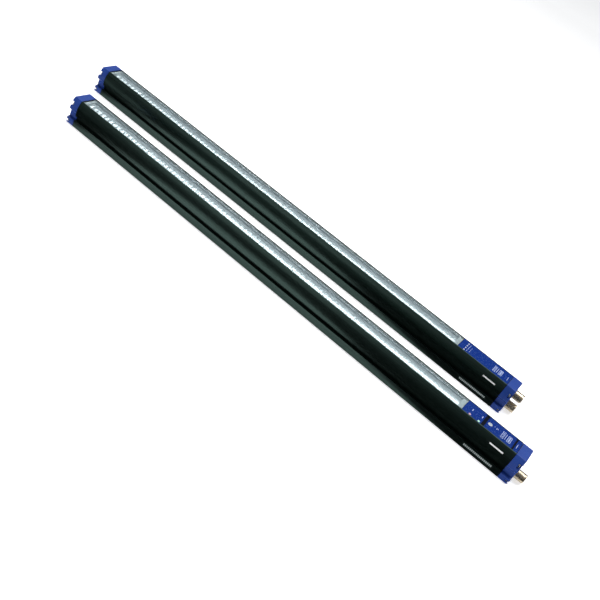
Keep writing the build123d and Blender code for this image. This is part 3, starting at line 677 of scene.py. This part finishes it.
# %% Flank stripes
ARC_CENTRE = (-10.15 * MM, 20.0 * MM)
ARC_RADIUS = 27.65 * MM
ARC_STEPS = 9
SKIN_GAP = 0.01 * MM
DASH_CORNER = 0.2 * MM


def arc_stripe(bar, start, end, low_angle, high_angle):
    """Thin closed skin on the near shoulder, between two places along the bar and two angles of its arc."""
    x = near_face[bar] - np.array([start, start, end, end]) * MM
    angle = np.radians(np.array([low_angle, high_angle, high_angle, low_angle]))
    loops = []
    for share in np.linspace(0, 1, ARC_STEPS):
        middle_angle = angle[0] + (angle[1] - angle[0]) * share
        radius = ARC_RADIUS + np.array([SKIN_GAP, SKIN_GAP + INK_HEIGHT, SKIN_GAP + INK_HEIGHT, SKIN_GAP])
        y = middle_y[bar] - (ARC_CENTRE[0] + radius * math.cos(middle_angle))
        z = ARC_CENTRE[1] + radius * math.sin(middle_angle)
        loops.append(np.stack([x[[0, 0, 2, 2]], y, z], axis=-1))
    first, last = (np.tile(loop.mean(axis=0), (4, 1)) for loop in (loops[0], loops[-1]))
    return np.stack([first, *loops, last]), False


def side_dash(bar, start, end, low, high):
    """Thin closed skin on the upright lower side, below the bracket slot."""
    y = middle_y[bar] - half_width - SKIN_GAP
    points, closed = flat_mark(0, 0, 0, (start - end) * MM, (high - low) * MM, DASH_CORNER)
    x = near_face[bar] - (start + end) / 2 * MM + points[..., 0]
    return np.stack([x, y - points[..., 2], (low + high) / 2 * MM + points[..., 1]], axis=-1), closed


# %% Stripe and dashes of each bar
STRIPE = (41.0, 23.6, 15.0, 18.6)       # start and end in mm from the near face, low and high in degrees
FIRST_DASH = 61.0                       # in mm from the near face
DASH_LENGTH = 1.4
DASH_PITCH = 2.1
DASH_COUNT = 18
DASH_SIDES = (4.6, 7.2)                 # lower and upper side, in mm above the floor
starts = [FIRST_DASH - DASH_PITCH * number for number in range(DASH_COUNT)]
for bar in BARS:
    mesh_object(f"{bar}_flank_stripe", [arc_stripe(bar, *STRIPE)], white_ink)
    dashes = [side_dash(bar, start, start - DASH_LENGTH, *DASH_SIDES) for start in starts]
    mesh_object(f"{bar}_side_dashes", dashes, grey_ink)
    print(bar, "stripe and", len(dashes), "dashes")

# %% [markdown]
# ## The studio
# Black metal has hardly a colour of its own, so a photographer lights what it mirrors: pale paper below,
# black cloth beside it and lamps above. The paper lies on a light table, so it stays white up to the
# bars. Here that is a matt sheet with some light of its own.

# %% Floor
FLOOR_REACH = 8.0
PAPER_CLOUD = 400 * MM


def floor_paint():
    """Pale matt paper on a light table."""
    material, tree = new_material("pale_paper")
    cloud = grain(tree, PAPER_CLOUD)
    finish_material(tree, {
        "Base Color": blend(tree, spread(tree, cloud, 0, 1), "#F4F4F5", "#F8F8F8"),
        "Roughness": 0.6,
        "Emission Color": linear("#FFFFFF"),
        "Emission Strength": 0.56,
    })
    return material


corners = [(-FLOOR_REACH, -FLOOR_REACH, 0), (FLOOR_REACH, -FLOOR_REACH, 0), (FLOOR_REACH, FLOOR_REACH, 0),
           (-FLOOR_REACH, FLOOR_REACH, 0)]
sheet = new_object("studio_floor", corners, [(0, 1, 2, 3)], floor_paint())
print("floor", 2 * FLOOR_REACH, "m square")

# %% [markdown]
# ## Black flags
# A flag is a black cloth that a photographer sets where a shiny thing would mirror something bright.
# The floor shows in each flank as a pale strip. A flag beside the bar leaves only a strip of floor free,
# widest past the bar's middle, and keeps the rest of the flank dark. Only reflections see the flags.

# %% Flags for the reflections
# Each pair is a distance from the near face and the width of the free strip there, in mm.
FREE_STRIP = np.array([(-600, 0), (70, 0), (120, 3), (200, 12), (350, 50), (500, 60), (600, 26), (700, 3),
                       (1300, 0)])
FLAG_REACH = 2.5
FLAG_LIFT = 0.5 * MM
BACK_GAP = 45 * MM
VELVET_PILE = 2 * MM


def black_velvet():
    """Cloth that sends nothing back."""
    material, tree = new_material("black_velvet")
    finish_material(tree, {
        "Base Color": blend(tree, grain(tree, VELVET_PILE), "#020303", "#050606"),
        "Roughness": 1.0,
        "Specular IOR Level": 0.0,
    })
    return material


def black_flag(name, edge, far_y):
    """Sheet just above the floor from a bent edge to a straight one, which only reflections can see."""
    bent = np.column_stack([edge, np.full(len(edge), FLAG_LIFT)])
    straight = bent.copy()
    straight[:, 1] = far_y
    count = len(edge)
    quads = [(i, i + 1, count + i + 1, count + i) for i in range(count - 1)]
    flag = new_object(name, np.concatenate([bent, straight]), quads, velvet)
    flag.visible_camera = False
    flag.visible_diffuse = False
    flag.visible_transmission = False
    flag.visible_shadow = False


velvet = black_velvet()
far_sides = {"emitter": -FLAG_REACH, "receiver": middle_y["emitter"] + half_width}
for bar in BARS:
    beside = np.column_stack([near_face[bar] - FREE_STRIP[:, 0] * MM,
                              middle_y[bar] - half_width - FREE_STRIP[:, 1] * MM])
    black_flag(f"{bar}_front_flag", beside, far_sides[bar])
back_y = cad_box[1][1] + BACK_GAP
black_flag("back_flag", np.array([(-FLAG_REACH, back_y), (FLAG_REACH, back_y)]), FLAG_REACH)
print("free floor beside each bar: up to", FREE_STRIP[:, 1].max(), "mm")

# %% [markdown]
# ## The lamps
# A softbox above and behind the bars gives the even light. A card beside it is seen by reflections
# alone and draws the bright band on the lenses. A second card in front lightens the near flanks and
# ends. Power is worked out from radiance, so a lamp can change its size and stay as bright to look at.

# %% Lamps
def softbox(name, place, target, width, length, radiance, reflections_only=False):
    """Rectangular lamp that looks at a point; its power is its radiance times pi times its area."""
    lamp = bpy.data.lights.new(name, "AREA")
    lamp.shape = "RECTANGLE"
    lamp.size = width
    lamp.size_y = length
    lamp.energy = radiance * math.pi * width * length
    box = bpy.data.objects.new(name, lamp)
    box.location = place
    box.rotation_euler = (Vector(target) - Vector(place)).to_track_quat("-Z", "Y").to_euler()
    box.visible_diffuse = not reflections_only
    bpy.context.scene.collection.objects.link(box)


softbox("top_softbox", (0.0, 0.45, 1.7), (0, 0, 0), 3.0, 1.6, 3.2)
softbox("band_card", (0.0, 0.6, 1.45), (0, 0, 0), 2.4, 0.62, 7.0, True)
softbox("front_card", (-0.65, -1.6, 0.75), (-0.2, 0, 0), 1.0, 0.3, 2.0)
print("lamps:", ", ".join(lamp.name for lamp in bpy.data.lights))

# %% [markdown]
# The air of the studio gets brighter towards the ceiling. Behind the floor the camera sees a pale
# backdrop, while reflections still find the darker air.

# %% World
world = bpy.data.worlds.new("studio_air")
world.use_nodes = True
air = world.node_tree
air.nodes.clear()
direction = add(air, "TexCoord").outputs["Generated"]
height = add(air, "SeparateXYZ", {"Vector": direction}).outputs["Z"]
brightness = add(air, "MapRange", {"Value": height, "From Min": 0.3, "From Max": 0.9, "To Min": 0.08,
                                   "To Max": 0.5})
sky = add(air, "Background", {"Color": linear("#E6EAEE"), "Strength": brightness.outputs["Result"]})
backdrop = add(air, "Background", {"Color": linear("#FAFAFB"), "Strength": 1.0})
is_camera_ray = add(air, "LightPath").outputs["Is Camera Ray"]
seen = mix_shaders(air, is_camera_ray, sky.outputs["Background"], backdrop.outputs["Background"])
add(air, "OutputWorld", {"Surface": seen})
bpy.context.scene.world = world
bpy.context.scene.view_settings.view_transform = "Standard"
print("world", world.name, "with", len(air.nodes), "nodes")

# %% [markdown]
# ## The camera
# The picture was taken from above the near ends with the camera rolled, so the bars run down to the
# right. Its place and angles were fitted to the edges of both bars.

# %% Camera
CAMERA_PLACE = np.array([308.0, -802.2, 542.3]) * MM
CAMERA_TURN = math.radians(18.19)
CAMERA_TILT = math.radians(34.21)
CAMERA_ROLL = math.radians(28.89)
CAMERA_LENS = 48.87


def looking(turn, tilt, roll):
    """Rotation of a camera that faces +Y, turned left, tilted down and rolled clockwise."""
    return (Matrix.Rotation(turn, 3, "Z") @ Matrix.Rotation(math.pi / 2 - tilt, 3, "X")
            @ Matrix.Rotation(roll, 3, "Z"))


camera_data = bpy.data.cameras.new("photo_camera")
camera_data.lens = CAMERA_LENS
camera_data.sensor_width = 36
camera_data.clip_start = 0.01
camera_data.clip_end = 100
camera = bpy.data.objects.new("photo_camera", camera_data)
camera.location = CAMERA_PLACE
camera.rotation_euler = looking(CAMERA_TURN, CAMERA_TILT, CAMERA_ROLL).to_euler()
bpy.context.scene.collection.objects.link(camera)
bpy.context.scene.camera = camera
print("camera at", np.round(CAMERA_PLACE / MM), "mm")
